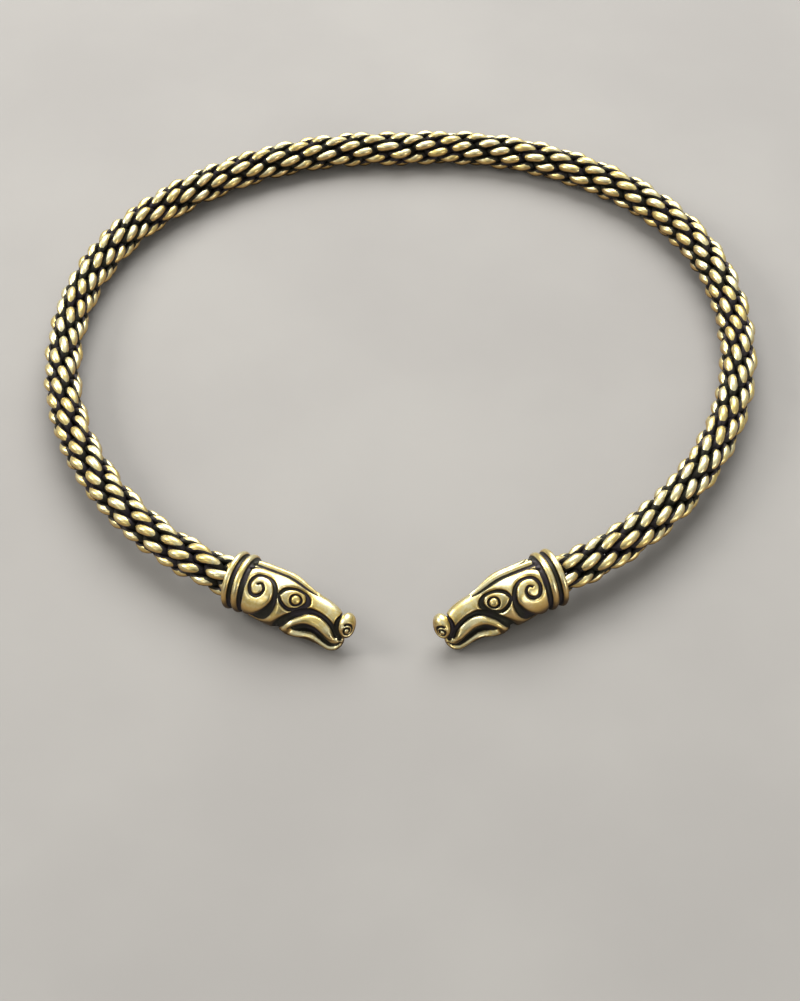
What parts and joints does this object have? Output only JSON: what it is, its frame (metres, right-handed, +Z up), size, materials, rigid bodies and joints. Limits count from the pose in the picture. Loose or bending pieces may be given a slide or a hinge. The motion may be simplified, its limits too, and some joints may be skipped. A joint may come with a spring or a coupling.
{
  "type": "torc",
  "caption": "Open neck ring of thick braided bronze wire whose two ends are cast beast heads with spiral ears, long muzzles and ringed collars.",
  "frame": {"origin": "centre of the bounding box on the surface that the ring lies on", "axes": "+Z up, out of the ring; +Y towards the back of the neck, so the heads and the opening are at -Y; +X to the right head"},
  "size_m": [0.1513, 0.1446, 0.0123],
  "materials": {
    "braid_bronze": "polished on the crowns of the wires, blackened between them",
    "cast_bronze": "polished on the raised bands, blackened in the grooves"
  },
  "bodies": {
    "root": {"strand_1": "braid_bronze", "strand_2": "braid_bronze", "strand_3": "braid_bronze", "strand_4": "braid_bronze", "left_head": "cast_bronze", "right_head": "cast_bronze"}
  },
  "joints": []
}
